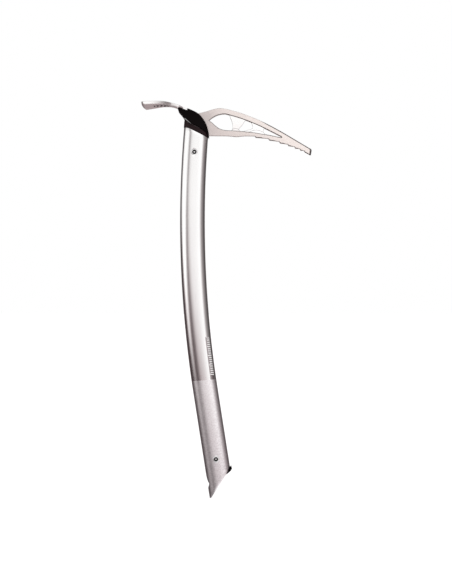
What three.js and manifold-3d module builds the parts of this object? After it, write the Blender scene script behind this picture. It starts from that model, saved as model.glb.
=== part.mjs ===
// An ultralight ice axe: a bent oval alloy tube, cut to a point at the foot, with a flat trussed pick and a
// flared adze joined inside a two-piece palm cover.
// Millimetres, +Z up along the shaft, +X towards the pick, and y = 0 is the plane that the pick lies in.
// The origin is the bottom centre of the bounding box: z = 0 is the spike's tip.
import * as THREE from "three";
import { mergeVertices } from "three/addons/utils/BufferGeometryUtils.js";
import Module from "manifold-3d";

const wasm = await Module();
wasm.setup();

// ---- driving dimensions ----
const GAP = 0.3; // left between pieces that touch

const SHAFT = { depth: 28.4, width: 20, wall: 1.8, power: 2.4 }; // a superellipse section
const BEND = { radius: 1264.2, x: 1224.6, z: 317.6 }; // the centreline's arc, hollow towards the pick
const SPIKE_TILT = THREE.MathUtils.degToRad(8.88); // of the straight foot, from the vertical
const SHAFT_TOP = 450; // the centreline is drawn past both ends, and the ends are cut
const SHAFT_LOW = -25;
const SHAFT_STEPS = 20;
const SECTION_POINTS = 36;

// The tube's upper end.
const HEAD_CUT = { back: [-46.9, 426.5], knee: [-43.3, 425.3], front: [-20.8, 414.1] };
const BEVEL = { tip: [-19.0, 0], front: [3.6, 36] }; // the tube's lower end, cut across at about 41 degrees
const LEASH_SLOT = { low: 17.2, lowRadius: 6.2, high: 22.4, highRadius: 3.2 }; // in the tube's back wall

const PICK_THICKNESS = 5;
const WEB_THICKNESS = 2.2; // the thinned struts across the pick's window
const FOOT_THICKNESS = 3.8; // the humps that the struts stand on
const TANG = { halfDepth: 10, low: 387 };
const TEETH = { count: 7, x: 33.3, pitch: 15.7, ratio: 0.79, rake: 0.9, depth: 2.0 };

const ADZE = {
  thickness: 3.4,
  rootTilt: 24, // degrees up from the horizontal
  rootLength: 6.5,
  bendRadius: 55,
  droop: 5.5, // degrees down
  tipX: -97.8,
  halfWidth: 23,
  ground: 3, // the length of the ground edge
};
const ADZE_ROOT = { x: -45.7, z: 447.75, halfWidth: 6.5, endHalfWidth: 2.6 }; // at its upper front corner
const LUG = { inner: PICK_THICKNESS / 2 + GAP, thickness: 2.6 };

const RIVET = { radius: 2.5, bore: 1.5, flangeRadius: 3.8, flange: 0.6, core: 1.2, recess: 0.9 };
const LUG_RIVET = { radius: 1.8, headRadius: 3, head: 1.2 };
const HEAD_RIVET_Z = 397.4;
const PLUG_RIVET_Z = 45.3;
const LUG_RIVETS = { rear: [-46.9, 440.9], front: [-40.9, 436.6] };
const PEG = { radius: 1.5, reach: 6, places: [[-29.5, 432.5], [-35.5, 430.6]] };

const COVER_HALF_WIDTH = 12;
const SPIGOT_LOW = 408;
const PLUG_TOP = 57;

// ---- materials ----
function material(color, roughness, metalness) {
  return new THREE.MeshStandardMaterial({ color, roughness, metalness });
}

const SATIN_ALLOY = material(0xd6d3d2, 0.28, 1);
const BLASTED_ALLOY = material(0xdcd2ce, 0.5, 1);
const FORGED_ALLOY = material(0xcfcac8, 0.38, 1);
const RIVET_STEEL = material(0xb9b5b2, 0.3, 1);
const BLACK_NYLON = material(0x17130f, 0.5, 0);
const GREY_NYLON = material(0x4b4a4a, 0.6, 0);

// ---- solids and their joins ----
function solid(geometry) {
  const bare = geometry.clone();
  bare.deleteAttribute("normal");
  bare.deleteAttribute("uv");
  const merged = mergeVertices(bare, 1e-4);
  return new wasm.Manifold(
    new wasm.Mesh({
      numProp: 3,
      vertProperties: merged.attributes.position.array,
      triVerts: new Uint32Array(merged.index.array),
    }),
  );
}

function part(name, made, look) {
  const { vertProperties, triVerts } = made.getMesh();
  const geometry = new THREE.BufferGeometry();
  geometry.setAttribute("position", new THREE.BufferAttribute(vertProperties, 3));
  geometry.setIndex(new THREE.BufferAttribute(triVerts, 1));
  geometry.computeVertexNormals();
  const mesh = new THREE.Mesh(geometry, look);
  mesh.name = name;
  return mesh;
}

const vectors = (points) => points.map(([x, z]) => new THREE.Vector2(x, z));
const outline = (points) => new THREE.Shape(vectors(points));

// A side-view outline, in x and z, made solid from y = low to y = high.
function sidePrism(shape, low, high, curveSegments = 5) {
  const made = new THREE.ExtrudeGeometry(shape, { depth: high - low, bevelEnabled: false, curveSegments });
  return solid(made.rotateX(Math.PI / 2).translate(0, high, 0));
}

// A plan-view outline, in x and y, made solid from z = low to z = high.
function planPrism(shape, low, high, curveSegments = 8) {
  const made = new THREE.ExtrudeGeometry(shape, { depth: high - low, bevelEnabled: false, curveSegments });
  return solid(made.translate(0, 0, low));
}

function crossPin(radius, [x, z], low, high, segments = 24) {
  const made = new THREE.CylinderGeometry(radius, radius, high - low, segments);
  return solid(made.translate(x, (low + high) / 2, z));
}

// The outline moved outwards by a distance, for the clearance round a piece.
function grown(shape, by, curveSegments = 5) {
  const points = shape.extractPoints(curveSegments).shape;
  const turn = THREE.ShapeUtils.isClockWise(points) ? -1 : 1;
  const moved = points.map((p, i) => {
    const before = points[(i + points.length - 1) % points.length];
    const after = points[(i + 1) % points.length];
    const edgeIn = p.clone().sub(before).normalize();
    const edgeOut = after.clone().sub(p).normalize();
    const normal = edgeIn.add(edgeOut).normalize();
    const outward = new THREE.Vector2(normal.y, -normal.x).multiplyScalar(turn * by);
    return p.clone().add(outward);
  });
  return new THREE.Shape(moved);
}

// ---- the shaft's centreline and section ----
// The centreline's x at a height: an arc, and below it the straight foot that it runs into.
const STRAIGHT_TOP = BEND.z - BEND.radius * Math.sin(SPIKE_TILT);
function centreX(z) {
  if (z >= STRAIGHT_TOP) return BEND.x - Math.sqrt(BEND.radius ** 2 - (z - BEND.z) ** 2);
  const arcEnd = BEND.x - BEND.radius * Math.cos(SPIKE_TILT);
  return arcEnd + (STRAIGHT_TOP - z) * Math.tan(SPIKE_TILT);
}

class ShaftLine extends THREE.Curve {
  constructor(low, high) {
    super();
    this.low = low;
    this.high = high;
  }
  getPoint(t, target = new THREE.Vector3()) {
    const z = this.low + t * (this.high - this.low);
    return target.set(centreX(z), 0, z);
  }
}

function superellipse(halfWidth, halfDepth, power = SHAFT.power, count = SECTION_POINTS) {
  const points = [];
  for (let i = 0; i < count; i += 1) {
    const angle = (2 * Math.PI * i) / count;
    const across = Math.sign(Math.cos(angle)) * Math.abs(Math.cos(angle)) ** (2 / power);
    const along = Math.sign(Math.sin(angle)) * Math.abs(Math.sin(angle)) ** (2 / power);
    points.push(new THREE.Vector2(halfWidth * across, halfDepth * along));
  }
  return points;
}

// A section that follows the shaft's centreline, shrunk all round by an inset.
function alongShaft(inset, low, high, steps, hollowInset) {
  const section = (by) => superellipse(SHAFT.width / 2 - by, SHAFT.depth / 2 - by);
  const shape = new THREE.Shape(section(inset));
  if (hollowInset !== undefined) shape.holes.push(new THREE.Path(section(hollowInset)));
  const extrudePath = new ShaftLine(low, high);
  return solid(new THREE.ExtrudeGeometry(shape, { steps, extrudePath, bevelEnabled: false }));
}

// Everything above the tube's upper cut, raised by an offset.
function beyondHeadCut(offset, clearOf = 20) {
  const { back, knee, front } = HEAD_CUT;
  const slope = (front[1] - knee[1]) / (front[0] - knee[0]);
  const shape = outline([
    [back[0] - clearOf, back[1] + offset],
    [back[0], back[1] + offset],
    [knee[0], knee[1] + offset],
    [front[0] + clearOf, front[1] + slope * clearOf + offset],
    [front[0] + clearOf, SHAFT_TOP + clearOf],
    [back[0] - clearOf, SHAFT_TOP + clearOf],
  ]);
  return sidePrism(shape, -clearOf, clearOf);
}

// Everything in front of the tube's lower bevel, moved along the bevel's normal by an offset.
function beyondBevel(offset, reach = 80) {
  const [x0, z0] = BEVEL.tip;
  const run = new THREE.Vector2(BEVEL.front[0] - x0, BEVEL.front[1] - z0).normalize();
  const normal = new THREE.Vector2(run.y, -run.x);
  const start = new THREE.Vector2(x0, z0).addScaledVector(normal, offset);
  const low = start.clone().addScaledVector(run, -reach);
  const high = start.clone().addScaledVector(run, reach);
  const farLow = low.clone().addScaledVector(normal, reach);
  const farHigh = high.clone().addScaledVector(normal, reach);
  return sidePrism(new THREE.Shape([low, farLow, farHigh, high]), -reach, reach);
}

// ---- the pick ----
const toothX = (i) => TEETH.x + (TEETH.pitch * (1 - TEETH.ratio ** i)) / (1 - TEETH.ratio);
const bellyZ = (x) => 414.5 - 0.165 * (x - TEETH.x) - 0.00237 * (x - TEETH.x) ** 2;

function pickOutline() {
  const shape = new THREE.Shape();
  const heel = centreX(416.5) + TANG.halfDepth;
  shape.moveTo(heel, 416.5);
  shape.lineTo(0, 416.3);
  shape.splineThru(vectors([[6.5, 415.9], [11.2, 415.4], [16, 415.9], [22, 416.3]]));
  shape.lineTo(TEETH.x - TEETH.rake, 416.2);
  for (let i = 0; i < TEETH.count; i += 1) {
    const x = toothX(i);
    shape.lineTo(x - TEETH.rake, bellyZ(x) + TEETH.depth);
    shape.lineTo(x, bellyZ(x));
  }
  shape.lineTo(96.6, 394.4);
  shape.lineTo(-ADZE.tipX, 399.6);
  shape.quadraticCurveTo(-ADZE.tipX, 401.6, 95.4, 402.8);
  shape.splineThru(vectors([[80.4, 411.8], [63.1, 422.0], [45.8, 431.1], [28.5, 438.5], [15.9, 443.1],
    [6.6, 445.7], [0, 447.5], [-7.2, 448.5], [-13, 447.9], [-19, 446.2], [-24, 444.6], [-28, 443.6]]));
  shape.lineTo(-33.2, 442.6);
  for (const [x, z] of [[-35.5, 440.4], [-40, 441.8], [-46, 443.9], [-52, 445.8], [-52, 444.2], [-45.6, 437]]) {
    shape.lineTo(x, z);
  }
  shape.lineTo(centreX(430) - TANG.halfDepth, 430);
  shape.lineTo(centreX(TANG.low) - TANG.halfDepth, TANG.low + 3);
  shape.lineTo(centreX(TANG.low) - TANG.halfDepth + 3, TANG.low);
  shape.lineTo(centreX(TANG.low) + TANG.halfDepth - 3, TANG.low);
  shape.lineTo(centreX(TANG.low) + TANG.halfDepth, TANG.low + 3);
  return shape;
}

// The long window, which the struts then cross.
function pickWindow() {
  const hole = new THREE.Path();
  hole.moveTo(-20.2, 434.4);
  hole.splineThru(vectors([[-16.4, 437.3], [-11.8, 439.8], [-7.2, 441.2], [-3.7, 441.6], [0.5, 441.2],
    [15.9, 436.7], [27.4, 432.4], [38.9, 427.5], [50.4, 421.8], [62, 415.9]]));
  hole.quadraticCurveTo(64.2, 414.4, 61.8, 415.2);
  hole.splineThru(vectors([[50.4, 417.7], [41.2, 419.3], [32, 420.9], [22.8, 421.8], [11.2, 422.8], [0, 423.2],
    [-3.8, 423.7], [-8, 425], [-11.8, 427.5], [-16.4, 431.6]]));
  return hole;
}

const STRUTS = [
  [[2, 443], [4.3, 437], [6.3, 431.8], [6.7, 426.8], [6, 420.5], [14.8, 420.5], [14, 424.3], [18.3, 429.8],
    [22.6, 436.6]],
  [[27.6, 434.5], [29.8, 427], [28, 424.6], [18, 421.8], [18.5, 420], [43.2, 417.6], [42, 422.4], [44, 427]],
];

const FEET = [
  [[5.2, 421], [6.2, 423.9], [8.2, 425.2], [10.3, 425.6], [12.4, 425.2], [14.2, 423.9], [15.4, 421]],
  [[24, 420], [27, 421.9], [30.5, 423.2], [34.5, 423.6], [38, 422.9], [41.5, 421.4], [44.5, 418.2], [43, 417]],
];

function pick() {
  const shape = pickOutline();
  shape.holes.push(pickWindow());
  const half = PICK_THICKNESS / 2;
  const web = WEB_THICKNESS / 2;
  let made = sidePrism(shape, -half, half);
  const foot = FOOT_THICKNESS / 2;
  for (const shapePoints of STRUTS) made = made.add(sidePrism(outline(shapePoints), -web, web));
  for (const shapePoints of FEET) made = made.add(sidePrism(outline(shapePoints), -foot, foot));
  const hole = (radius, place) => crossPin(radius + GAP, place, -half - 1, half + 1);
  made = made.subtract(hole(RIVET.radius, [centreX(HEAD_RIVET_Z), HEAD_RIVET_Z]));
  for (const place of Object.values(LUG_RIVETS)) made = made.subtract(hole(LUG_RIVET.radius, place));
  for (const place of PEG.places) made = made.subtract(hole(PEG.radius, place));
  return made;
}

// The space that the pick takes up, with clearance all round.
function pickClearance() {
  const half = PICK_THICKNESS / 2 + GAP;
  return sidePrism(grown(pickOutline(), GAP), -half, half);
}

// ---- the adze ----
// The plate's side view: a straight root that climbs backwards, a bend, and a blade that droops to its edge.
// extra is added all round it, for the clearance that the palm cover leaves.
function adzeSide(extra = 0) {
  const root = THREE.MathUtils.degToRad(ADZE.rootTilt);
  const droop = THREE.MathUtils.degToRad(ADZE.droop);
  const backwards = new THREE.Vector2(-Math.cos(root), Math.sin(root));
  const upwards = new THREE.Vector2(Math.sin(root), Math.cos(root));
  const corner = new THREE.Vector2(ADZE_ROOT.x, ADZE_ROOT.z);
  const start = corner.clone().addScaledVector(backwards, -extra);
  const centre = corner.clone().addScaledVector(backwards, ADZE.rootLength);
  centre.addScaledVector(upwards, -ADZE.bendRadius);
  const rim = (angle, radius) => {
    const outward = new THREE.Vector2(Math.sin(angle), Math.cos(angle));
    return centre.clone().addScaledVector(outward, radius);
  };
  const upper = [];
  const lower = [];
  const steps = 10;
  for (let i = 0; i <= steps; i += 1) {
    const angle = root - ((root + droop) * i) / steps;
    upper.push(rim(angle, ADZE.bendRadius + extra));
    lower.push(rim(angle, ADZE.bendRadius - ADZE.thickness - extra));
  }
  const blade = upper[steps].x - ADZE.tipX + extra;
  const edge = upper[steps].clone().add(new THREE.Vector2(-blade, -blade * Math.tan(droop)));
  const groundStart = edge.clone().add(new THREE.Vector2(ADZE.ground, ADZE.ground * Math.tan(droop)));
  const bladeUp = new THREE.Vector2(-Math.sin(droop), Math.cos(droop));
  groundStart.addScaledVector(bladeUp, -ADZE.thickness - 2 * extra);
  return new THREE.Shape([
    start.clone().addScaledVector(upwards, extra),
    ...upper,
    edge,
    edge.clone().add(new THREE.Vector2(0, -1.1)),
    groundStart,
    ...lower.reverse(),
    start.clone().addScaledVector(upwards, -ADZE.thickness - extra),
  ]);
}

// Seen from above: a narrow end, a straight root, and a flare out to the bowed edge and its rounded corners.
function adzePlan() {
  const { halfWidth, tipX } = ADZE;
  const { x, halfWidth: root, endHalfWidth } = ADZE_ROOT;
  const flare = [[-64, root + 0.6], [-67, root + 2.1], [-72.4, 12.4], [-79, 16.3], [-88, 20.3],
    [-94.5, halfWidth - 0.6]];
  const side = [[x + 10, endHalfWidth], [-50, endHalfWidth], [-56, root], [-60, root]];
  const shape = new THREE.Shape();
  shape.moveTo(...side[0]);
  for (const point of side.slice(1)) shape.lineTo(...point);
  shape.splineThru(vectors(flare));
  shape.quadraticCurveTo(tipX + 1, halfWidth + 0.4, tipX + 0.8, halfWidth - 2);
  shape.quadraticCurveTo(tipX - 0.8, 0, tipX + 0.8, -halfWidth + 2);
  shape.quadraticCurveTo(tipX + 1, -halfWidth - 0.4, -94.5, -halfWidth + 0.6);
  shape.splineThru(vectors([...flare.slice(0, -1).reverse(), side[3]].map(([px, y]) => [px, -y])));
  for (const [px, y] of side.slice(0, 3).reverse()) shape.lineTo(px, -y);
  return shape;
}

// Each lug hangs from the root plate beside the pick's web.
function lugOutline() {
  return outline([[-51.8, 447.6], [-46.4, 446], [-45.9, 444.2], [-39.6, 441.3], [-37.2, 438.6], [-37.2, 434.6],
    [-40, 432.8], [-43.6, 434.8], [-51.8, 444]]);
}

function adze() {
  const plate = sidePrism(adzeSide(), -30, 30).intersect(planPrism(adzePlan(), 430, 470));
  const outer = LUG.inner + LUG.thickness;
  const lugs = sidePrism(lugOutline(), LUG.inner, outer).add(sidePrism(lugOutline(), -outer, -LUG.inner));
  let made = plate.add(lugs);
  for (const place of Object.values(LUG_RIVETS)) {
    made = made.subtract(crossPin(LUG_RIVET.radius + GAP, place, -outer - 1, outer + 1));
  }
  return made;
}

function adzeClearance() {
  const outer = LUG.inner + LUG.thickness + GAP;
  const half = ADZE_ROOT.halfWidth + GAP;
  let made = sidePrism(adzeSide(GAP), -half, half);
  made = made.add(sidePrism(grown(lugOutline(), GAP), -outer, outer));
  for (const place of Object.values(LUG_RIVETS)) {
    const reach = outer + LUG_RIVET.head + 2 * GAP;
    made = made.add(crossPin(LUG_RIVET.headRadius + GAP, place, -reach, reach));
  }
  return made;
}

// ---- the plastic pieces of the head ----
// The line where the palm cover meets the collar, from back to front.
const SEAM = [[-49.3, 437], [-42.8, 430.9], [-36.5, 428], [-31.3, 425.4], [-24.2, 420.6], [-20.6, 416]];

function coverSide() {
  const shape = new THREE.Shape();
  shape.moveTo(-56.2, 450.6);
  shape.lineTo(-56.2, 447);
  shape.splineThru(vectors([[-54.8, 443.8], [-52.3, 441.2], [-50.5, 438.8], SEAM[0]]));
  for (const [x, z] of SEAM.slice(1)) shape.lineTo(x, z);
  shape.splineThru(vectors([[-20.9, 419.4], [-22.2, 424.5], [-23.9, 429], [-26.3, 433.6], [-29.6, 438.2],
    [-34.4, 442.3], [-40.2, 445], [-45.4, 446.7]]));
  shape.lineTo(-45.4, 446);
  return shape;
}

// Seen from above, the cover rounds off towards its front and back.
function coverPlan() {
  const halfLength = 18.4;
  const points = superellipse(halfLength, COVER_HALF_WIDTH, 2.6, 40);
  return new THREE.Shape(points.map((p) => new THREE.Vector2(p.x - 38.4, p.y)));
}

// Seen from the end, it bulges a little over the collar and rounds in towards its top. Its points are (y, z).
function coverEnd() {
  const wide = COVER_HALF_WIDTH;
  const side = [[wide - 5.5, 446.6], [wide - 3, 443], [wide - 1, 438], [wide, 431], [wide - 0.6, 422],
    [wide - 2, 412]];
  const otherSide = side.map(([y, z]) => [-y, z]).reverse();
  const shape = new THREE.Shape();
  shape.moveTo(...otherSide[0]);
  shape.splineThru(vectors(otherSide.slice(1)));
  shape.lineTo(-wide + 7, 452);
  shape.lineTo(wide - 7, 452);
  shape.lineTo(...side[0]);
  shape.splineThru(vectors(side.slice(1)));
  return shape;
}

function endPrism(shape, low, high) {
  const made = new THREE.ExtrudeGeometry(shape, { depth: high - low, bevelEnabled: false, curveSegments: 3 });
  return solid(made.rotateX(Math.PI / 2).rotateZ(Math.PI / 2).translate(low, 0, 0));
}

// side is 1 for the left half, which carries the pegs, and -1 for the right half, which takes them.
function palmCover(side) {
  let made = sidePrism(coverSide(), -20, 20, 3);
  made = made.intersect(planPrism(coverPlan(), 400, 460)).intersect(endPrism(coverEnd(), -70, 0));
  const block = outline([[-70, 400], [0, 400], [0, 470], [-70, 470]]);
  const keep = side > 0 ? sidePrism(block, GAP / 2, 30) : sidePrism(block, -30, -GAP / 2);
  made = made.intersect(keep).subtract(pickClearance()).subtract(adzeClearance());
  for (const place of PEG.places) {
    made = side > 0 ? made.add(crossPin(PEG.radius, place, -PEG.reach, PEG.reach))
      : made.subtract(crossPin(PEG.radius + GAP, place, -PEG.reach - GAP, 0));
  }
  return made;
}

function headCollar() {
  const seam = SEAM.map(([x, z]) => [x, z - GAP]);
  const below = outline([...seam, [-10, 412], [-10, SPIGOT_LOW], [-60, SPIGOT_LOW], [-60, 440], [-50, 440]]);
  const band = alongShaft(0.2, 400, 445, 6).intersect(sidePrism(below, -20, 20)).intersect(beyondHeadCut(GAP));
  const spigot = alongShaft(SHAFT.wall + GAP, SPIGOT_LOW - 5, 440, 5).intersect(sidePrism(below, -20, 20));
  return band.add(spigot).subtract(pickClearance());
}

// Packs the tube's hollow beside the tang. side is 1 for the left and -1 for the right.
function tangPacker(side) {
  const inner = PICK_THICKNESS / 2 + GAP;
  const slab = outline([[-70, TANG.low], [0, TANG.low], [0, SPIGOT_LOW - GAP], [-70, SPIGOT_LOW - GAP]]);
  const keep = side > 0 ? sidePrism(slab, inner, 20) : sidePrism(slab, -20, -inner);
  const hole = crossPin(RIVET.radius + GAP, [centreX(HEAD_RIVET_Z), HEAD_RIVET_Z], -20, 20);
  return alongShaft(SHAFT.wall + GAP, TANG.low - 5, SPIGOT_LOW + 5, 3).intersect(keep).subtract(hole);
}

// ---- the foot ----
// The plug closes the tube above the leash slot, and its lip covers the front of the bevelled rim.
function spikePlug() {
  const face = [[-28, 28], [-2.2, 28], [-0.6, 28.2], [4.3, 31.8], [5.6, 33.6], [4.7, 37]];
  const body = outline([...face, [4, 38], [4, PLUG_TOP], [-40, PLUG_TOP]]);
  const inside = alongShaft(SHAFT.wall + GAP, 5, PLUG_TOP + 8, 4).intersect(sidePrism(body, -20, 20));
  const lipSection = new THREE.Shape(superellipse(SHAFT.width / 2 - 0.2, SHAFT.depth / 2 + 1.8));
  const lipRun = { steps: 4, extrudePath: new ShaftLine(5, 50), bevelEnabled: false };
  let lip = solid(new THREE.ExtrudeGeometry(lipSection, lipRun));
  lip = lip.intersect(sidePrism(outline(face), -20, 20)).intersect(beyondBevel(GAP));
  const hole = crossPin(RIVET.radius + GAP, [centreX(PLUG_RIVET_Z), PLUG_RIVET_Z], -20, 20);
  return inside.add(lip).subtract(hole);
}

function leashSlot() {
  const { low, lowRadius, high, highRadius } = LEASH_SLOT;
  const shape = new THREE.Shape();
  shape.absarc(0, low, lowRadius, -Math.PI, 0, false);
  shape.absarc(0, high, highRadius, 0, Math.PI, false);
  const made = new THREE.ExtrudeGeometry(shape, { depth: 12, bevelEnabled: false, curveSegments: 10 });
  const back = centreX(low) - SHAFT.depth / 2;
  return solid(made.rotateX(Math.PI / 2).rotateZ(Math.PI / 2).translate(back - 5, 0, 0));
}

function shaftTube() {
  const tube = alongShaft(0, SHAFT_LOW, SHAFT_TOP, SHAFT_STEPS, SHAFT.wall);
  const ground = planPrism(outline([[-90, -60], [90, -60], [90, 60], [-90, 60]]), -80, 0);
  let made = tube.subtract(beyondHeadCut(0)).subtract(beyondBevel(0));
  made = made.subtract(ground).subtract(leashSlot());
  for (const z of [HEAD_RIVET_Z, PLUG_RIVET_Z]) {
    made = made.subtract(crossPin(RIVET.radius + GAP, [centreX(z), z], -20, 20));
  }
  return made;
}

// ---- rivets ----
function ring(profile, [x, z], segments = 28) {
  const points = profile.map(([radius, y]) => new THREE.Vector2(radius, y));
  return solid(new THREE.LatheGeometry(points, segments).translate(x, 0, z));
}

// A hollow rivet right through the shaft, with a thin flange on each side.
function rivetTube(z) {
  const { radius, bore, flangeRadius, flange } = RIVET;
  const seat = SHAFT.width / 2 + GAP;
  const end = seat + flange;
  const profile = [[bore, -end], [flangeRadius - 0.4, -end], [flangeRadius, -seat], [radius, -seat],
    [radius, seat], [flangeRadius, seat], [flangeRadius - 0.4, end], [bore, end], [bore, -end]];
  return ring(profile, [centreX(z), z]);
}

// The pin that spreads the rivet, pressed in a little below each end.
function rivetCore(z) {
  const end = SHAFT.width / 2 + GAP + RIVET.flange - RIVET.recess;
  const profile = [[0, -end], [RIVET.core - 0.3, -end], [RIVET.core, -end + 0.3], [RIVET.core, end - 0.3],
    [RIVET.core - 0.3, end], [0, end]];
  return ring(profile, [centreX(z), z], 20);
}

function lugRivet(place) {
  const seat = LUG.inner + LUG.thickness + GAP;
  const end = seat + LUG_RIVET.head;
  const { radius, headRadius } = LUG_RIVET;
  const profile = [[0, -end], [headRadius * 0.6, -end], [headRadius, -seat], [radius, -seat], [radius, seat],
    [headRadius, seat], [headRadius * 0.6, end], [0, end]];
  return ring(profile, place, 20);
}

// ---- the assembly ----
const axe = new THREE.Group();
axe.add(
  part("shaft_tube", shaftTube(), SATIN_ALLOY),
  part("pick", pick(), BLASTED_ALLOY),
  part("adze", adze(), FORGED_ALLOY),
  part("adze_rivet_rear", lugRivet(LUG_RIVETS.rear), RIVET_STEEL),
  part("adze_rivet_front", lugRivet(LUG_RIVETS.front), RIVET_STEEL),
  part("palm_cover_left", palmCover(1), BLACK_NYLON),
  part("palm_cover_right", palmCover(-1), BLACK_NYLON),
  part("head_collar", headCollar(), BLACK_NYLON),
  part("tang_packer_left", tangPacker(1), GREY_NYLON),
  part("tang_packer_right", tangPacker(-1), GREY_NYLON),
  part("head_rivet_tube", rivetTube(HEAD_RIVET_Z), RIVET_STEEL),
  part("head_rivet_core", rivetCore(HEAD_RIVET_Z), RIVET_STEEL),
  part("spike_plug", spikePlug(), BLACK_NYLON),
  part("plug_rivet_tube", rivetTube(PLUG_RIVET_Z), RIVET_STEEL),
  part("plug_rivet_core", rivetCore(PLUG_RIVET_Z), RIVET_STEEL),
);

export default axe;
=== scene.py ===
import math

import bmesh
import bpy
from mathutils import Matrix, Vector
from mathutils.geometry import tessellate_polygon


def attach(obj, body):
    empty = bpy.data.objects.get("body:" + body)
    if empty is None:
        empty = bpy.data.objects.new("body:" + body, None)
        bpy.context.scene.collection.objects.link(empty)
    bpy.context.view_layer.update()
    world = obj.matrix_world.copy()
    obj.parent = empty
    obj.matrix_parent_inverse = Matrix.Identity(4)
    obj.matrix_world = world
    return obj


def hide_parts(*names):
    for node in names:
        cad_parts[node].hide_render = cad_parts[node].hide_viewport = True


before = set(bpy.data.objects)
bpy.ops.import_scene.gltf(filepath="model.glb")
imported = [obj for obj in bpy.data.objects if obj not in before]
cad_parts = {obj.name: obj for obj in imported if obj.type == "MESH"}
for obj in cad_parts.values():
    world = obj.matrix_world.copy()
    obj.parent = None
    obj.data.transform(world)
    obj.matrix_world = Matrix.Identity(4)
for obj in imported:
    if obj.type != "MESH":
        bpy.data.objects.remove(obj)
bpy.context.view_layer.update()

# An ultralight ice axe. Every outline below is in millimetres, in the frame of the CAD model: +Z up along the
# shaft, +X towards the pick, and y = 0 is the plane of the pick. Meshes are made in metres.
MM = 0.001

# ---- the shaft ----
HALF_DEPTH, HALF_WIDTH, POWER = 14.2, 10.0, 2.4  # its superellipse section
WALL = 1.8  # the tube's thickness
FULLER = 0.1  # how much the visible shaft is fuller than the section, and set towards the pick
BEND_RADIUS, BEND_X, BEND_Z = 1264.2, 1224.6, 317.6  # the arc of its centreline
FOOT_TILT = math.radians(8.88)  # the lean of the straight foot below the arc
HEAD_CUT = [(-70, 425.9), (-46.9, 425.9), (-43.3, 424.7), (-20.8, 413.5), (0, 403.1)]  # under the collar
BEVEL_TIP, BEVEL_FRONT = (-18.4, 0.0), (4.4, 36.0)  # the line of the foot's cut
LEASH_SLOT = {"low": 17.2, "low_radius": 6.2, "high": 22.4, "high_radius": 3.2}
RIVETS = {"head_rivet": 397.4, "plug_rivet": 45.3}  # their heights
RIVET_HOLE = 2.9  # its radius
GRIP_TOP, GRIP_SLANT = (137.9, 138.2), 0.09  # the line below which the alloy is blasted matt
MARKS_PITCH, MARKS_LOW, MARKS_HIGH = 2.1, 143.2, 185.6  # the depth marks, up the shaft

# ---- the palm cover ----
SEAM = [
    (-60, 447), (-49.3, 437), (-42.8, 430.9), (-36.5, 428), (-31.3, 425.4), (-24.2, 420.6), (-20.6, 416),
    (-18, 412.7),
]  # the line where the cover meets the collar
COVER_X, COVER_HALF_LENGTH, COVER_HALF_WIDTH, COVER_POWER = -38.4, 18.4, 12, 2.6  # its superellipse plan
COLLAR_PROUD = 1.045  # how much deeper the collar is than the section it follows

# ---- the pick and the adze ----
PICK_TIP_X = 97.8
PICK_HALF, WEB_HALF, FOOT_HALF = 2.5, 1.1, 1.9  # halves of the thicknesses of its plate, struts and humps
TOOTH_COUNT, TOOTH_X, TOOTH_RAKE, TOOTH_DEPTH = 7, 33.3, 0.9, 2.0
TOOTH_PITCH, TOOTH_RATIO = 15.7, 0.79  # each pitch is this much of the one before
TOOTH_Z, TOOTH_SLOPE, TOOTH_CURVE = 414.7, 0.165, 0.00237  # the line of the teeth's tips
ADZE_TIP_X, ADZE_HALF_THICKNESS, ADZE_GROUND = -97.8, 1.7, 3.0  # the last is the depth of the ground edge
ADZE_ROOT_TILT, ADZE_DROOP, ADZE_BEND_RADIUS = math.radians(24), math.radians(5.5), 55.0
ADZE_ROOT_STEP, ADZE_BOW = 0.8125, 0.8


# ---- small mesh tools ----
def catmull(points, steps=8):
    """The points of a smooth curve through the given ones."""

    def blended(t, a, b, c, d):
        value = 2 * b + (c - a) * t
        value += (2 * a - 5 * b + 4 * c - d) * t * t
        value += (3 * b - a - 3 * c + d) * t ** 3
        return 0.5 * value

    made = []
    last = len(points) - 1
    for i in range(last):
        four = points[max(i - 1, 0)], points[i], points[i + 1], points[min(i + 2, last)]
        made += [tuple(blended(k / steps, *values) for values in zip(*four)) for k in range(steps)]
    return made + [points[last]]


def add_object(name, data):
    """A new object in the scene."""
    piece = bpy.data.objects.new(name, data)
    bpy.context.scene.collection.objects.link(piece)
    return piece


def mesh_object(name, vertices, faces):
    """An object from vertices in millimetres."""
    mesh = bpy.data.meshes.new(name)
    mesh.from_pydata([tuple(c * MM for c in v) for v in vertices], [], faces)
    mesh.validate()
    return add_object(name, mesh)


def recalculated(piece):
    """Turns every face outwards."""
    work = bmesh.new()
    work.from_mesh(piece.data)
    bmesh.ops.recalc_face_normals(work, faces=work.faces)
    work.to_mesh(piece.data)
    work.free()
    return piece


def with_modifier(piece, kind, **settings):
    """Adds a modifier and puts its result straight into the mesh."""
    modifier = piece.modifiers.new(kind, kind)
    for key, value in settings.items():
        setattr(modifier, key, value)
    graph = bpy.context.evaluated_depsgraph_get()
    made = bpy.data.meshes.new_from_object(piece.evaluated_get(graph))
    piece.modifiers.clear()
    piece.data = made
    return piece


def boolean(piece, other, operation):
    """Cuts, joins or crosses a piece with another, which is used up."""
    with_modifier(piece, "BOOLEAN", object=other, operation=operation, solver="EXACT")
    bpy.data.objects.remove(other)
    return piece


def smooth(piece, angle):
    """Shades a piece smooth, but for the edges sharper than an angle in degrees."""
    for polygon in piece.data.polygons:
        polygon.use_smooth = True
    piece.data.set_sharp_from_angle(angle=math.radians(angle))
    return piece


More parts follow.
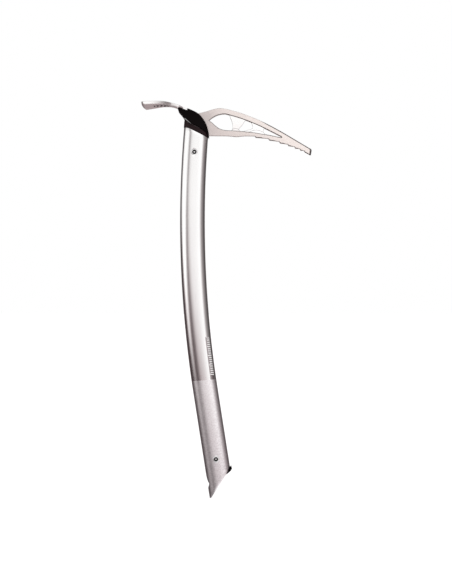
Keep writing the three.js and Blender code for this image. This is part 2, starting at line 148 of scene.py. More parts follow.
def prism(name, outline, low, high, across="y"):
    """An outline made solid between two places on the axis across it.

    Its points are (x, z) across y, (x, y) across z, and (y, z) across x.
    """
    place = {
        "y": lambda p, d: (p[0], d, p[1]),
        "z": lambda p, d: (p[0], p[1], d),
        "x": lambda p, d: (d, p[0], p[1]),
    }[across]
    count = len(outline)
    vertices = [place(p, low) for p in outline] + [place(p, high) for p in outline]
    faces = [list(range(count)), list(range(count, 2 * count))]
    faces += [[i, (i + 1) % count, count + (i + 1) % count, count + i] for i in range(count)]
    return recalculated(mesh_object(name, vertices, faces))


def loft(name, loops, closed=False):
    """A skin over a row of loops with the same number of points, closed in a ring or capped at both ends."""
    count = len(loops[0])
    rows = len(loops)
    vertices = [p for loop in loops for p in loop]
    faces = []
    for r in range(rows if closed else rows - 1):
        a, b = r * count, ((r + 1) % rows) * count
        faces += [[a + i, a + (i + 1) % count, b + (i + 1) % count, b + i] for i in range(count)]
    if not closed:
        faces += [list(range(count)), list(range((rows - 1) * count, rows * count))]
    return recalculated(mesh_object(name, vertices, faces))


def rounding(radius, steps=3):
    """(inset, back-off) pairs round a quarter circle, from the side to the face."""
    angles = [math.pi / 2 * k / steps for k in range(steps + 1)]
    return [(radius * (1 - math.cos(a)), radius * (1 - math.sin(a))) for a in angles]


# ---- flat plates with a chamfer that can change along the edge ----
def inward_normals(loop):
    """Mitred unit normals on the left of the direction of travel."""
    normals = []
    count = len(loop)
    for i in range(count):
        before, here, after = Vector(loop[i - 1]), Vector(loop[i]), Vector(loop[(i + 1) % count])
        a, b = (here - before).normalized(), (after - here).normalized()
        across = Vector((-(a.y + b.y), a.x + b.x))
        if across.length < 1e-6:
            across = Vector((-a.y, a.x))
        across.normalize()
        stretch = max(across.dot(Vector((-a.y, a.x))), 0.6)
        normals.append(across / stretch)
    return normals


def signed_area(loop):
    """Its sign is the way round that the loop goes."""
    return sum(a[0] * b[1] - b[0] * a[1] for a, b in zip(loop, loop[1:] + loop[:1])) / 2


def stepped_in(loop, normals, widths, half, side, inset, back):
    """A plate's loop moved in from its edge and back from its face, as parts of the chamfer's width."""
    ring = []
    for p, n, width in zip(loop, normals, widths):
        deep = min(width, half * 0.7) * back
        ring.append((p[0] + n.x * width * inset, side * (half - deep), p[1] + n.y * width * inset))
    return ring


def plate(name, outer, holes, half, chamfer):
    """A plate in the x, z plane, half thick on each side of y = 0.

    chamfer(x, z, hole) is the chamfer's width at a point of the outline or of a hole.
    """
    loops = [outer if signed_area(outer) > 0 else outer[::-1]]
    loops += [h if signed_area(h) < 0 else h[::-1] for h in holes]
    vertices, faces = [], []
    face_loops = {-1: [], 1: []}
    for number, loop in enumerate(loops):
        count = len(loop)
        normals = inward_normals(loop)
        widths = [chamfer(p[0], p[1], number > 0) for p in loop]
        left = [stepped_in(loop, normals, widths, half, -1, *step) for step in rounding(1.0, 2)]
        right = [stepped_in(loop, normals, widths, half, 1, *step) for step in rounding(1.0, 2)]
        rings = left[::-1] + right
        start = len(vertices)
        for ring in rings:
            vertices += ring
        for r in range(len(rings) - 1):
            a, b = start + r * count, start + (r + 1) * count
            faces += [[a + i, a + (i + 1) % count, b + (i + 1) % count, b + i] for i in range(count)]
        face_loops[-1].append(list(range(start, start + count)))
        face_loops[1].append(list(range(start + (len(rings) - 1) * count, start + len(rings) * count)))
    for side in (-1, 1):
        flat = [i for ring in face_loops[side] for i in ring]
        rings = [[Vector((vertices[i][0], vertices[i][2], 0)) for i in ring] for ring in face_loops[side]]
        faces += [[flat[i] for i in triangle] for triangle in tessellate_polygon(rings)]
    piece = recalculated(mesh_object(name, vertices, faces))
    smooth(piece, 50)
    for polygon in piece.data.polygons:
        if len(polygon.vertices) == 3:
            polygon.use_smooth = False
    return piece


# ---- the shaft's line and section ----
def centre(s):
    """The centreline's x, and its tilt, at height s."""
    straight_top = BEND_Z - BEND_RADIUS * math.sin(FOOT_TILT)
    if s < straight_top:
        arc_end = BEND_X - BEND_RADIUS * math.cos(FOOT_TILT)
        return arc_end + (straight_top - s) * math.tan(FOOT_TILT), -FOOT_TILT
    rise = s - BEND_Z
    return BEND_X - math.sqrt(BEND_RADIUS ** 2 - rise ** 2), math.asin(rise / BEND_RADIUS)


def on_superellipse(angle, half_x, half_y, power):
    """A point of an oval that gets squarer as its power rises from 2."""
    c, d = math.cos(angle), math.sin(angle)
    x = half_x * math.copysign(abs(c) ** (2 / power), c)
    return x, half_y * math.copysign(abs(d) ** (2 / power), d)


def on_shaft(angle, s, inset, inset_depth=None):
    """A point of the shaft's skin, moved in by an inset that can differ along its depth."""
    x, tilt = centre(s)
    depth = HALF_DEPTH - (inset if inset_depth is None else inset_depth)
    deep, wide = on_superellipse(angle, depth, HALF_WIDTH - inset, POWER)
    return (x + deep * math.cos(tilt), wide, s - deep * math.sin(tilt))


def line_height(line, x):
    """The height of a polyline of (x, z) points at x."""
    for (x0, z0), (x1, z1) in zip(line, line[1:]):
        if x <= x1 or (x1, z1) == line[-1]:
            return z0 + (z1 - z0) * (x - x0) / (x1 - x0)
    return line[-1][1]


def bevel_run():
    """The direction of the foot's cut, in x and z."""
    return Vector((BEVEL_FRONT[0] - BEVEL_TIP[0], BEVEL_FRONT[1] - BEVEL_TIP[1])).normalized()


def below_bevel(point):
    """How far a point is outside the foot's cut. It is less than 0 in the metal."""
    run = bevel_run()
    past = (point[0] - BEVEL_TIP[0]) * run.y - (point[2] - BEVEL_TIP[1]) * run.x
    return max(past, -point[2])


def above_line(line, gap=0.0):
    """A test of how far a point is above a polyline and the gap over it."""
    return lambda point: point[2] - line_height(line, point[0]) - gap


def cut_height(angle, inset, low, high, outside):
    """The s between low and high at which outside(point) changes sign."""
    sign = outside(on_shaft(angle, low, inset)) > 0
    for _ in range(40):
        middle = (low + high) / 2
        if (outside(on_shaft(angle, middle, inset)) > 0) == sign:
            low = middle
        else:
            high = middle
    return (low + high) / 2


def section_angles(count):
    """Angles that spread the points of the section more evenly round it."""
    fine = [2 * math.pi * i / 2000 for i in range(2001)]
    points = [on_shaft(a, BEND_Z, 0) for a in fine]
    run = [0.0]
    for p, q in zip(points, points[1:]):
        run.append(run[-1] + math.dist(p, q))
    angles, k = [], 0
    for i in range(count):
        want = run[-1] * i / count
        while run[k + 1] < want:
            k += 1
        angles.append(fine[k] + (fine[k + 1] - fine[k]) * (want - run[k]) / (run[k + 1] - run[k]))
    return angles


def shaft_sleeve(name, outer, wall, low_cut, high_cut, rows, count, edge):
    """A tube that follows the shaft between two cuts, with rounded rims.

    A cut is the range of heights to look in, and a test that changes sign at the cut.
    """
    angles = section_angles(count)
    inner = outer + wall

    def heights(inset, cut, back):
        (low, high), test = cut
        step = back if cut is low_cut else -back
        return [cut_height(a, inset, low, high, test) + step for a in angles]

    def placed(row, inset):
        return [on_shaft(a, s, inset) for a, s in zip(angles, row)]

    def skin(inset):
        low, high = heights(inset, low_cut, edge), heights(inset, high_cut, edge)
        steps = [k / rows for k in range(rows + 1)]
        return [placed([a + (b - a) * t for a, b in zip(low, high)], inset) for t in steps]

    def rim(cut):
        """The loops over a rim, from the outer skin to the inner one."""
        turn = rounding(edge)[1:]
        steps = [(outer + i, back) for i, back in turn] + [(inner - i, back) for i, back in turn[::-1]]
        return [placed(heights(inset, cut, back), inset) for inset, back in steps]

    return loft(name, skin(outer) + rim(high_cut) + skin(inner)[::-1] + rim(low_cut)[::-1], closed=True)


def half_circle(height, radius, start):
    """Points half way round a circle about y = 0."""
    angles = [start + math.pi * k / 24 for k in range(25)]
    return [(radius * math.cos(a), height + radius * math.sin(a)) for a in angles]


def teardrop():
    """The leash slot's outline, in y and z."""
    low = half_circle(LEASH_SLOT["low"], LEASH_SLOT["low_radius"], math.pi)
    return low + half_circle(LEASH_SLOT["high"], LEASH_SLOT["high_radius"], 0)


def make_shaft():
    """The tube, with its slanting cuts, leash slot and rivet holes."""
    piece = shaft_sleeve(
        "shaft", -FULLER, WALL + FULLER, ((-40, 120), below_bevel), ((380, 450), above_line(HEAD_CUT)),
        rows=110, count=128, edge=0.3)
    for vertex in piece.data.vertices:
        vertex.co.x += FULLER * MM
    boolean(piece, prism("slot_cutter", teardrop(), -34, -12, across="x"), "DIFFERENCE")
    for z in RIVETS.values():
        x = centre(z)[0]
        turns = [math.pi * k / 20 for k in range(40)]
        hole = [(x + RIVET_HOLE * math.cos(a), z + RIVET_HOLE * math.sin(a)) for a in turns]
        boolean(piece, prism("hole_cutter", hole, -12, 12), "DIFFERENCE")
    with_modifier(
        piece, "BEVEL", width=0.35 * MM, segments=2, limit_method="ANGLE", angle_limit=math.radians(50))
    return smooth(piece, 40)


def make_collar():
    """The ring between the tube and the palm cover."""
    piece = shaft_sleeve(
        "collar", 0.2, 2.2, ((380, 450), above_line(HEAD_CUT, 0.3)), ((400, 460), above_line(SEAM, -0.3)),
        rows=6, count=96, edge=0.5)
    for vertex in piece.data.vertices:  # it stands a little proud in front and behind
        middle = centre(vertex.co.z / MM)[0] * MM
        vertex.co.x = middle + (vertex.co.x - middle) * COLLAR_PROUD + 0.05 * MM
    return smooth(piece, 60)


# ---- the pick ----
def tooth(i):
    """The tip of a tooth. The teeth get closer together towards the tip of the pick."""
    x = TOOTH_X + TOOTH_PITCH * (1 - TOOTH_RATIO ** i) / (1 - TOOTH_RATIO)
    return x, TOOTH_Z - TOOTH_SLOPE * (x - TOOTH_X) - TOOTH_CURVE * (x - TOOTH_X) ** 2


def pick_outline():
    """The plate's outline: the lower edge and its teeth, the blunt end, the top, and the tang."""
    points = [(-27.5, 416.8), (0, 416.65)]
    points += catmull([(6.5, 416.2), (11.2, 415.7), (16, 416.2), (22, 416.6)], 5)
    points.append((TOOTH_X - TOOTH_RAKE, 416.45))
    for i in range(TOOTH_COUNT):
        x, z = tooth(i)
        notch = (tooth(i + 1)[0] - TOOTH_RAKE, tooth(i + 1)[1] + TOOTH_DEPTH)
        points += [(x - TOOTH_RAKE, z + TOOTH_DEPTH), (x - 0.1, z + 0.25), (x + 0.25, z)]
        if i < TOOTH_COUNT - 1:
            points += [(x + (notch[0] - x) * t, z + (notch[1] - z) * t) for t in (0.2, 0.4, 0.6, 0.8)]
    points += [(96.4, 394.4), (97.0, 395.0), (PICK_TIP_X, 399.6), (97.6, 401.0), (96.8, 401.9)]
    points += catmull([
        (95.3, 402.6), (80.3, 411.5), (63.0, 421.7), (45.7, 430.9), (28.5, 438.4), (15.9, 443.1),
        (6.6, 445.7), (0, 447.5), (-7.2, 448.5), (-13, 447.9), (-19, 446.2), (-24, 444.6), (-28, 443.6),
    ])
    points += [(-33.2, 442.6), (-35.5, 440.4), (-40, 441.8), (-44.5, 443), (-45.5, 437)]
    points += [(-45, 424), (-46, 390), (-43, 387), (-29, 387), (-26.3, 390)]
    return points


def pick_window():
    """The long window: its upper edge, its front end, and its lower edge."""
    points = catmull([
        (-20.2, 434.4), (-16.4, 437.3), (-11.8, 439.8), (-7.2, 441.2), (-3.7, 441.6), (0.5, 441.2),
        (15.9, 436.7), (27.4, 432.4), (38.9, 427.5), (50.4, 421.8), (62, 415.9),
    ])
    points += [(62.7, 415.5), (62.9, 415.2), (62.6, 415.0)]
    points += catmull([
        (61.8, 415.0), (50.4, 417.45), (41.2, 419.05), (32, 420.65), (22.8, 421.6), (11.2, 422.65),
        (0, 423.1), (-3.8, 423.7), (-8, 425), (-11.8, 427.5), (-16.4, 431.6),
    ])
    return points


def strut_outlines():
    """The two struts across the window, with their ends hidden in the plate."""
    first = catmull([(2, 443), (4.3, 437), (6.3, 431.8), (6.7, 426.8), (6, 420.5)], 6)
    first += catmull([(14.8, 420.5), (14, 424.3), (18.3, 429.8), (22.6, 436.6)], 6)
    second = catmull([(27.6, 434.5), (29.8, 427), (28, 424.6), (18, 421.8), (18.5, 420)], 6)
    second += catmull([(43.2, 417.6), (42, 422.4), (44, 427)], 6)
    return [first, second]


def foot_outlines():
    """The two humps that the struts stand on."""
    first = catmull([
        (5.6, 422.6), (6.4, 424.1), (8.2, 425.2), (10.3, 425.6), (12.4, 425.2), (14, 424), (14.9, 422.6),
    ], 5)
    second = catmull([
        (25, 421.2), (27, 421.9), (30.5, 423.2), (34.5, 423.6), (38, 422.9), (41.5, 421.4), (43.6, 419.4),
    ], 5)
    return [[(5.2, 421)] + first + [(15.4, 421)], [(24, 420)] + second + [(44.5, 418.2), (43, 417)]]


def pick_chamfer(x, z, hole):
    """The chamfer's width: broad round the blunt end, along the outer top and past each tooth, else fine."""
    if hole:
        return 0.85 if z > 436.5 - 0.37 * (x + 19.7) else 0.7
    if x > 95.5:
        return 2.3 if z > 394.8 else 0.5
    if x < 30:
        return 0.22
    if z > 424.5 - 0.40 * (x - 30):
        return 0.25 + 1.0 * min(max((x - 38) / 10, 0), 1)
    starts = [tooth(i)[0] for i in range(TOOTH_COUNT + 1)]
    for a, b in zip(starts, starts[1:]):
        if a - 0.2 <= x < b - 1.0:
            return 0.85 - 0.6 * min(max(((x - a) / (b - a) - 0.35) / 0.3, 0), 1)
    return 0.25


def make_pick():
    """The plate, and the struts and humps in its window."""
    piece = plate("pick_plate", pick_outline(), [pick_window()], PICK_HALF, pick_chamfer)
    webs = []
    for i, outline in enumerate(strut_outlines()):
        webs.append(plate(f"strut_{i}", outline, [], WEB_HALF, lambda x, z, hole: 0.3))
    for i, outline in enumerate(foot_outlines()):
        webs.append(plate(f"foot_{i}", outline, [], FOOT_HALF, lambda x, z, hole: 0.45))
    return piece, webs


# ---- the adze ----
def adze_line():
    """(x, z, tilt) along the middle of the plate's thickness, from the root to the edge."""
    root, droop, bend = ADZE_ROOT_TILT, ADZE_DROOP, ADZE_BEND_RADIUS
    x, z = -45.7, 447.75
    stations = []
    for k in range(9):
        run = k * ADZE_ROOT_STEP
        stations.append((x - run * math.cos(root), z + run * math.sin(root), root))
    bx, bz = stations.pop()[:2]
    cx, cz = bx - bend * math.sin(root), bz - bend * math.cos(root)
    for k in range(33):
        tilt = root - (root + droop) * k / 32
        stations.append((cx + bend * math.sin(tilt), cz + bend * math.cos(tilt), tilt))
    ex, ez = stations[-1][:2]
    for k in range(1, 41):
        u = k / 40
        u = 1 - (1 - u) ** 1.6  # closer together near the edge
        far = (ex - ADZE_TIP_X) * u
        stations.append((ex - far, ez - far * math.tan(droop), -droop))
    half = ADZE_HALF_THICKNESS
    return [(x - half * math.sin(t), z - half * math.cos(t), t) for x, z, t in stations]


def plan_curve():
    """The plan of the adze from root to corner, as (x, half width)."""
    points = [(-44, 2.6), (-50, 2.6), (-50.8, 2.9), (-55.3, 6.2), (-56.2, 6.5), (-61, 6.5)]
    points += catmull([
        (-61, 6.5), (-63, 6.8), (-65.4, 8.1), (-72.4, 12.6), (-79, 16.3), (-88, 20.3), (-94.5, 22.4),
    ])[1:]
    x0, y0, x1, y1, x2, y2 = -94.5, 22.4, -96.8, 23.4, -97.0, 21.0
    for k in range(1, 9):
        t = k / 8
        points.append(((1 - t) ** 2 * x0 + 2 * t * (1 - t) * x1 + t * t * x2,
                       (1 - t) ** 2 * y0 + 2 * t * (1 - t) * y1 + t * t * y2))
    return points[::-1]


ADZE_PLAN = plan_curve()


def adze_half_width(x):
    """Half the plate's width at x."""
    for (x0, y0), (x1, y1) in zip(ADZE_PLAN, ADZE_PLAN[1:]):
        if x <= x1:
            return y0 + (y1 - y0) * max(x - x0, 0) / max(x1 - x0, 1e-6)
    return ADZE_PLAN[-1][1]


def adze_section(half_width, above, below, edge):
    """A rounded flat section as (y, height) pairs, starting along the top."""
    edge = min(edge, (above + below) * 0.45)
    turn = rounding(edge)
    ys = [-(half_width - edge) + 2 * (half_width - edge) * i / 24 for i in range(25)]
    top = [(y, above) for y in ys]
    right = [(half_width - i, above - b) for i, b in turn[::-1][1:]]
    right += [(half_width - i, -below + b) for i, b in turn]
    bottom = [(y, -below) for y in ys[::-1][1:]]
    left = [(-half_width + i, -below + b) for i, b in turn[::-1][1:]]
    left += [(-half_width + i, above - b) for i, b in turn[:-1]]
    return top + right + bottom + left


def make_adze():
    """The blade, as sections across the line of its middle. Its cutting edge is ground thin and bowed."""
    loops = []
    for x, z, tilt in adze_line():
        ground = min(max((x - ADZE_TIP_X) / ADZE_GROUND, 0), 1)  # 0 at the edge, and 1 in the whole plate
        below = ADZE_HALF_THICKNESS * (1 - 1.4 * (1 - ground))
        bow = ADZE_BOW * min(max((-70 - x) / 27, 0), 1)
        width = adze_half_width(x + bow)
        loop = []
        for y, height in adze_section(width, ADZE_HALF_THICKNESS, below, 0.35):
            back = bow * (y / width) ** 2
            loop.append((x - height * math.sin(-tilt) + back, y, z + height * math.cos(tilt)))
        loops.append(loop)
    piece = loft("adze_blade", loops)
    return smooth(piece, 35)


# ---- the palm cover ----
def cover_side():
    """The cover's outline from the side: its rear corner, the seam, its front edge and its top."""
    points = [(-56.2, 450.6), (-56.2, 447)]
    points += catmull([(-56.2, 447), (-54.8, 443.8), (-52.3, 441.2), (-50.5, 438.8), (-49.3, 437)], 6)[1:]
    points += catmull(SEAM[2:-2] + [(-20.3, 412.9)], 6)
    points += catmull([
        (-20.3, 412.9), (-20.6, 418.6), (-21.8, 424.3), (-23.6, 429.5), (-26.35, 434.2), (-29.7, 438.6),
        (-34.4, 442.7), (-40.0, 445.6), (-45.2, 447.8),
    ], 6)[1:]
    points.append((-46.5, 447.5))
    return points


def cover_plan():
    """The cover's outline from above."""
    angles = [2 * math.pi * i / 96 for i in range(96)]
    plan = [on_superellipse(a, COVER_HALF_LENGTH, COVER_HALF_WIDTH, COVER_POWER) for a in angles]
    return [(x + COVER_X, y) for x, y in plan]


def cover_end():
    """The cover's outline from its end."""
    side = catmull([(11.4, 422), (12, 431), (11.2, 438), (9.9, 443), (8.6, 446.8)], 6)
    right = [(10, 412)] + side + [(8, 452)]
    return right + [(-y, z) for y, z in right[::-1]]


def make_covers():
    """The two halves of the palm cover: one shape, with its edges rounded over, cut at y = 0."""
    piece = prism("palm_cover", cover_side(), -20, 20)
    boolean(piece, prism("cut", cover_plan(), 400, 460, across="z"), "INTERSECT")
    boolean(piece, prism("cut", cover_end(), -70, 0, across="x"), "INTERSECT")
    for drop, reach in ((0.05, 7.2), (-1.1, 20)):  # cut under the adze's root, and less beside it
        above = [(x, z - (ADZE_HALF_THICKNESS + drop) * math.cos(t)) for x, z, t in adze_line() if x > -62]
        above = [(-45.2, above[0][1] - 0.4)] + above + [(-62, 470), (-45.2, 470)]
        boolean(piece, prism("cut", above, -reach, reach), "DIFFERENCE")
    with_modifier(piece, "REMESH", mode="VOXEL", voxel_size=0.27 * MM)
    with_modifier(piece, "SMOOTH", factor=0.5, iterations=4)
    half = [(-80, 400), (0, 400), (0, 470), (-80, 470)]
    halves = piece, add_object("cover_right", piece.data.copy())
    piece.name = "cover_left"
    for made, low, high in zip(halves, (0.1, -30), (30, -0.1)):
        boolean(made, prism("cut", half, low, high), "INTERSECT")
        smooth(made, 45)
    return halves


def make_seam_bead():
    """A thin lip along the rear of the seam, which gets finer towards the front and carries a painted
    highlight.
    """
    path = catmull([(-48.2, 435.8), (-44.8, 432.8), (-41.8, 430.3), (-36.4, 427.0), (-31.3, 424.4)])
    last = len(path) - 1
    turns = [2 * math.pi * i / 12 for i in range(12)]
    beads = []
    for number, side in enumerate((-1, 1)):
        rows = []
        for k, (x, z) in enumerate(path):
            radius = 0.36 * (1 - k / last) ** 0.7 + 0.04
            run = (Vector(path[min(k + 1, last)]) - Vector(path[max(k - 1, 0)])).normalized()
            part = (abs(x - COVER_X) / COVER_HALF_LENGTH) ** COVER_POWER
            plan = COVER_HALF_WIDTH * (1 - part) ** (1 / COVER_POWER)
            wide = min(plan, 11.8 - 0.02 * max(z - 430, 0) ** 2) - 0.15
            rows.append([])
            for t in turns:
                over, out = radius * math.cos(t), radius * math.sin(t)
                rows[-1].append((x - run.y * over, side * (wide + out), z + run.x * over))
        beads.append(smooth(loft(f"seam_bead_{number}", rows), 60))
    return beads


# ---- turned and moulded pieces ----
def turned(name, profile, at_x, at_z, steps=48):
    """A profile of (radius, y) pairs spun about an axis along y."""
    loops = []
    for k in range(steps):
        a = 2 * math.pi * k / steps
        loops.append([(at_x + r * math.cos(a), y, at_z + r * math.sin(a)) for r, y in profile])
    return loft(name, loops, closed=True)


def make_rivet(name, at_z):
    """A hollow rivet: a low flange, and a deep groove between the bore and the pin."""
    rim = [
        (1.3, 5.5), (1.35, 6.5), (1.75, 7.0), (2.25, 8.5), (2.42, 10.05), (2.5, 10.33), (2.68, 10.46),
        (3.0, 10.43), (3.4, 10.32), (3.6, 10.2), (3.7, 10.0), (3.7, 9.4),
    ]
    profile = rim + [(r, -y) for r, y in rim[::-1]]
    return smooth(turned(name, profile, centre(at_z)[0], at_z), 60)


def make_plug():
    """The plug in the tube's foot: a body inside the tube, and a lip up to the line of the cut."""
    face = [(-28, 27.7), (-1.7, 27.7), (-0.1, 27.9), (4.8, 31.5), (6.1, 33.3), (5.2, 37)]
    angles = section_angles(72)

    def bar(name, inset_width, inset_depth, low, high):
        heights = [low + (high - low) * k / 8 for k in range(9)]
        return loft(name, [[on_shaft(a, s, inset_width, inset_depth) for a in angles] for s in heights])

    piece = bar("plug", 1.9, 1.9, 5, 60)
    boolean(piece, prism("cut", face + [(4, 38), (4, 56), (-40, 56)], -20, 20), "INTERSECT")
    lip = bar("lip", 0.2, -2.3, 5, 50)
    boolean(lip, prism("cut", face, -20, 20), "INTERSECT")
    run = bevel_run()
    normal = Vector((run.y, -run.x))
    start = Vector(BEVEL_TIP) + normal * 0.1
    low, high = start - run * 60, start + run * 90
    corners = [tuple(c) for c in (low, low + normal * 90, high + normal * 90, high)]
    boolean(lip, prism("cut", corners, -30, 30), "INTERSECT")
    boolean(piece, lip, "UNION")
    with_modifier(piece, "REMESH", mode="VOXEL", voxel_size=0.3 * MM)
    with_modifier(piece, "SMOOTH", factor=0.5, iterations=5)
    return smooth(piece, 60)


# ---- materials ----
class Nodes:
    """Short names for building the nodes of a material or a world."""

    def __init__(self, owner):
        owner.use_nodes = True
        self.owner = owner
        self.tree = owner.node_tree
        self.shader = self.tree.nodes.get("Principled BSDF")

    def new(self, kind, **settings):
        node = self.tree.nodes.new(kind)
        for key, value in settings.items():
            setattr(node, key, value)
        return node

    def link(self, a, b):
        self.tree.links.new(a, b)

    def put(self, value, socket):
        """Gives a socket a number, a colour or another node's output."""
        if isinstance(value, (int, float, tuple)):
            socket.default_value = value
        else:
            self.link(value, socket)

    def place(self, scale=(1, 1, 1), turn=0.0):
        """The object's own coordinates in millimetres, scaled and turned about y."""
        where = self.new("ShaderNodeTexCoord")
        mapping = self.new("ShaderNodeMapping")
        mapping.inputs["Scale"].default_value = [1000 * s for s in scale]
        mapping.inputs["Rotation"].default_value = (0, turn, 0)
        self.link(where.outputs["Object"], mapping.inputs["Vector"])
        return mapping.outputs["Vector"]

    def noise(self, vector, scale, detail=3.0, roughness=0.5):
        node = self.new("ShaderNodeTexNoise")
        node.inputs["Scale"].default_value = scale
        node.inputs["Detail"].default_value = detail
        node.inputs["Roughness"].default_value = roughness
        self.link(vector, node.inputs["Vector"])
        return node.outputs["Fac"]

    def parts(self, vector):
        """The x, y and z of a vector."""
        split = self.new("ShaderNodeSeparateXYZ")
        self.link(vector, split.inputs[0])
        return split.outputs

    def facing(self):
        """The x, y and z of the bare surface's normal."""
        return self.parts(self.new("ShaderNodeNewGeometry").outputs["True Normal"])

    def math(self, operation, a, b=0.0):
        node = self.new("ShaderNodeMath", operation=operation)
        self.put(a, node.inputs[0])
        self.put(b, node.inputs[1])
        return node.outputs[0]

    def spread(self, value, low, high, to_low=0.0, to_high=1.0, kind="LINEAR"):
        """A value between low and high, moved to lie between two other numbers and kept there."""
        node = self.new("ShaderNodeMapRange", clamp=True, interpolation_type=kind)
        self.link(value, node.inputs["Value"])
        for key, number in zip(("From Min", "From Max", "To Min", "To Max"), (low, high, to_low, to_high)):
            node.inputs[key].default_value = number
        return node.outputs["Result"]

    def mix(self, factor, a, b, blend="MIX"):
        """The colour a where the factor is 0, and b where it is 1."""
        node = self.new("ShaderNodeMix", data_type="RGBA", blend_type=blend)
        for value, socket in ((factor, node.inputs["Factor"]), (a, node.inputs[6]), (b, node.inputs[7])):
            self.put(value, socket)
        return node.outputs[2]

    def bump(self, height, distance, strength=1.0):
        node = self.new("ShaderNodeBump")
        node.inputs["Distance"].default_value = distance * MM
        node.inputs["Strength"].default_value = strength
        self.link(height, node.inputs["Height"])
        self.link(node.outputs["Normal"], self.shader.inputs["Normal"])


def grey(value, warm=0.0):
    """A plain grey, or one that is a little warm."""
    return (value * (1 + warm), value, value * (1 - warm), 1.0)


def depth_marks(n, x, y, z, satin_part):
    """Where a dark strip on the side at -Y is, and where its pale ticks are, with every fifth one longer."""
    left, right, short_tick, longer = 7.9, 12.4, 9.4, 0.9  # across the shaft
    along = n.math("ADD", z, n.math("MULTIPLY", n.math("ADD", x, 26.9), 0.125))
    across = n.math("ADD", x, n.math("ADD", n.math("MULTIPLY", z, 0.125), 9.53))
    strip = satin_part
    for test in (n.math("LESS_THAN", across, right), n.math("GREATER_THAN", across, left),
                 n.math("LESS_THAN", along, MARKS_HIGH), n.math("LESS_THAN", y, 0.0)):
        strip = n.math("MULTIPLY", strip, test)
    step = n.math("DIVIDE", n.math("SUBTRACT", along, MARKS_LOW), MARKS_PITCH)
    tick = n.math("LESS_THAN", n.math("FRACT", step), 0.5)
    fifth = n.math("LESS_THAN", n.math("MODULO", n.math("FLOOR", step), 5.0), 0.5)
    start = n.math("SUBTRACT", short_tick, n.math("MULTIPLY", fifth, longer))
    mark = n.math("MULTIPLY", n.math("MULTIPLY", tick, strip), n.math("GREATER_THAN", across, start))
    return strip, n.math("MULTIPLY", mark, n.math("GREATER_THAN", along, MARKS_LOW))


def shaft_material():
    """Satin anodised alloy with plain depth marks, blasted matt below a sharp line for grip."""
    n = Nodes(bpy.data.materials.new("satin_and_blasted_alloy"))
    x, y, z = n.parts(n.place())
    line = n.math("SUBTRACT", z, n.math("MULTIPLY", x, GRIP_SLANT))
    grip = n.spread(line, *GRIP_TOP, 1.0, 0.0)
    strip, mark = depth_marks(n, x, y, z, n.math("SUBTRACT", 1.0, grip))
    brushed = n.noise(n.place((2.2, 2.2, 0.05)), 1.0, 4.0, 0.6)
    cloud = n.noise(n.place((0.03, 0.03, 0.012)), 1.0, 3.0)
    grain = n.noise(n.place((3.5, 3.5, 3.5)), 1.0, 2.0, 0.6)
    satin = n.mix(n.spread(cloud, 0.3, 0.7), grey(0.85, 0.006), grey(0.89, 0.006))
    speckle = n.spread(n.noise(n.place((0.6, 0.6, 0.6)), 1.0, 4.0, 0.7), 0.38, 0.62)
    # The matt part is darker towards the foot.
    darker_foot_tone = n.mix(speckle, (0.68, 0.653, 0.667, 1), (0.92, 0.889, 0.905, 1))
    paler_upper_tone = n.mix(speckle, (0.86, 0.836, 0.845, 1), (1.0, 0.99, 0.995, 1))
    matt = n.mix(n.spread(z, 10.0, 125.0), darker_foot_tone, paler_upper_tone)
    metal = n.mix(grip, satin, matt)
    metal = n.mix(strip, metal, (0.40, 0.36, 0.365, 1))
    n.link(n.mix(mark, metal, (0.97, 0.95, 0.95, 1)), n.shader.inputs["Base Color"])
    n.link(n.math("SUBTRACT", 1.0, mark), n.shader.inputs["Metallic"])
    satin_rough = n.spread(brushed, 0.3, 0.7, 0.13, 0.18)
    matt_rough = n.spread(grain, 0.3, 0.7, 0.27, 0.34)
    rough = n.new("ShaderNodeMix", data_type="FLOAT")
    n.link(grip, rough.inputs["Factor"])
    n.link(satin_rough, rough.inputs[2])
    n.link(matt_rough, rough.inputs[3])
    n.link(n.math("MAXIMUM", rough.outputs[0], n.math("MULTIPLY", mark, 0.6)), n.shader.inputs["Roughness"])
    texture = n.math("ADD", n.math("MULTIPLY", grain, grip), n.math("MULTIPLY", brushed, 0.12))
    n.bump(texture, 0.02, 0.5)
    return n.owner


